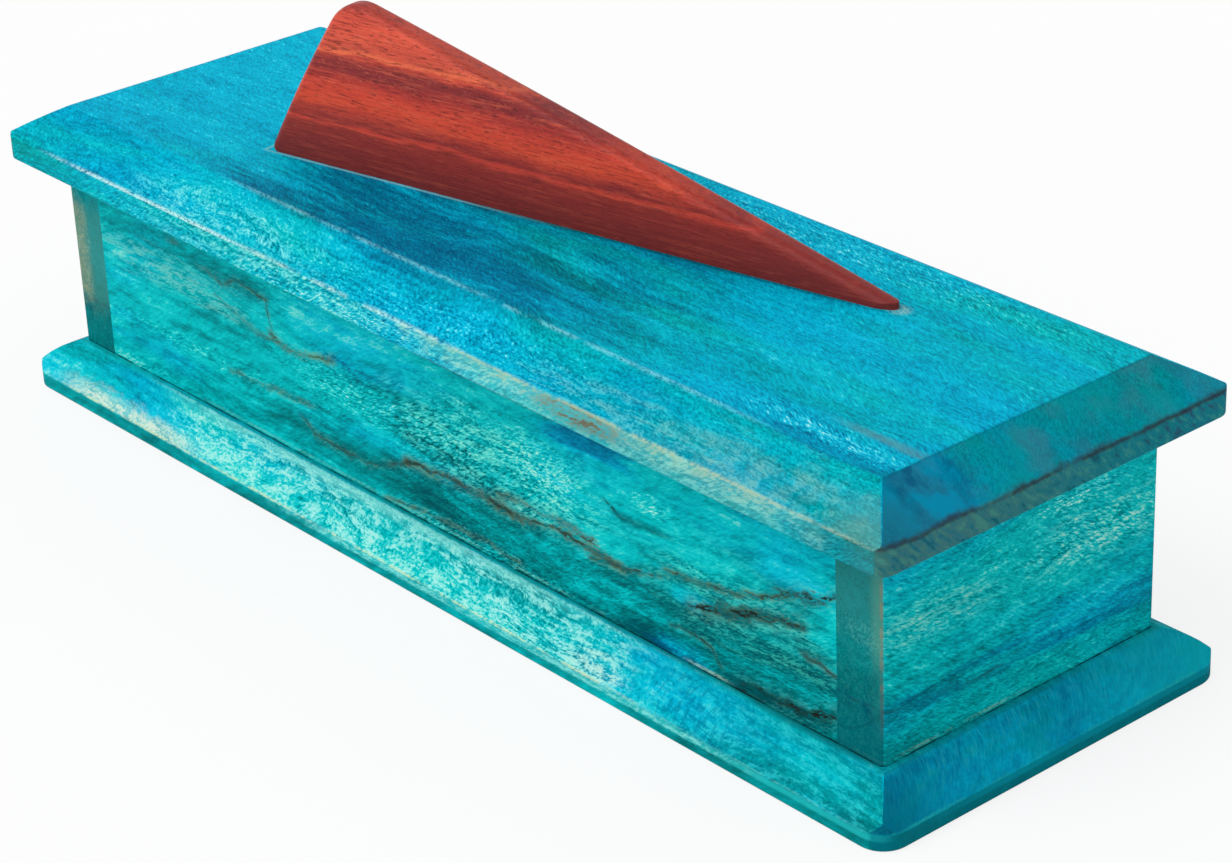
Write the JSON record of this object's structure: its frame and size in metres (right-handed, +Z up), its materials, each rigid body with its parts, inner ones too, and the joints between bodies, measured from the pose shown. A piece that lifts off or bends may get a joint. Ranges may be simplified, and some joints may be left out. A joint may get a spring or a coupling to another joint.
{
  "type": "lidded wooden box",
  "caption": "Long rectangular wooden box with bevelled base, lift-off bevelled lid and a slanting wedge handle on top.",
  "frame": {"origin": "centre of the underside of the base board", "axes": "+Z up, +X along the box towards its right end, where the handle is thin, -Y towards the front wall"},
  "size_m": [0.2148, 0.0708, 0.0795],
  "materials": {
    "dyed_base": "dyed figured wood, probably maple, satin oil",
    "dyed_walls": "dyed spalted wood, probably maple, satin oil",
    "dyed_lid": "dyed figured wood, probably maple, satin oil",
    "bare_maple": null,
    "red_hardwood": "red hardwood of unknown species, satin polish",
    "screw_brass": null
  },
  "bodies": {
    "box": {"base_board": "dyed_base", "front_wall": "dyed_walls", "back_wall": "dyed_walls", "left_end_wall": "dyed_walls", "right_end_wall": "dyed_walls"},
    "lid": {"lid_board": "dyed_lid", "lid_locating_panel": "bare_maple", "handle": "red_hardwood", "handle_screws": "screw_brass"}
  },
  "joints": [
    {"name": "lid_lift", "type": "slide", "parent": "box", "child": "lid", "axis": [0, 0, 1], "range_m": [0, 0.06]}
  ]
}
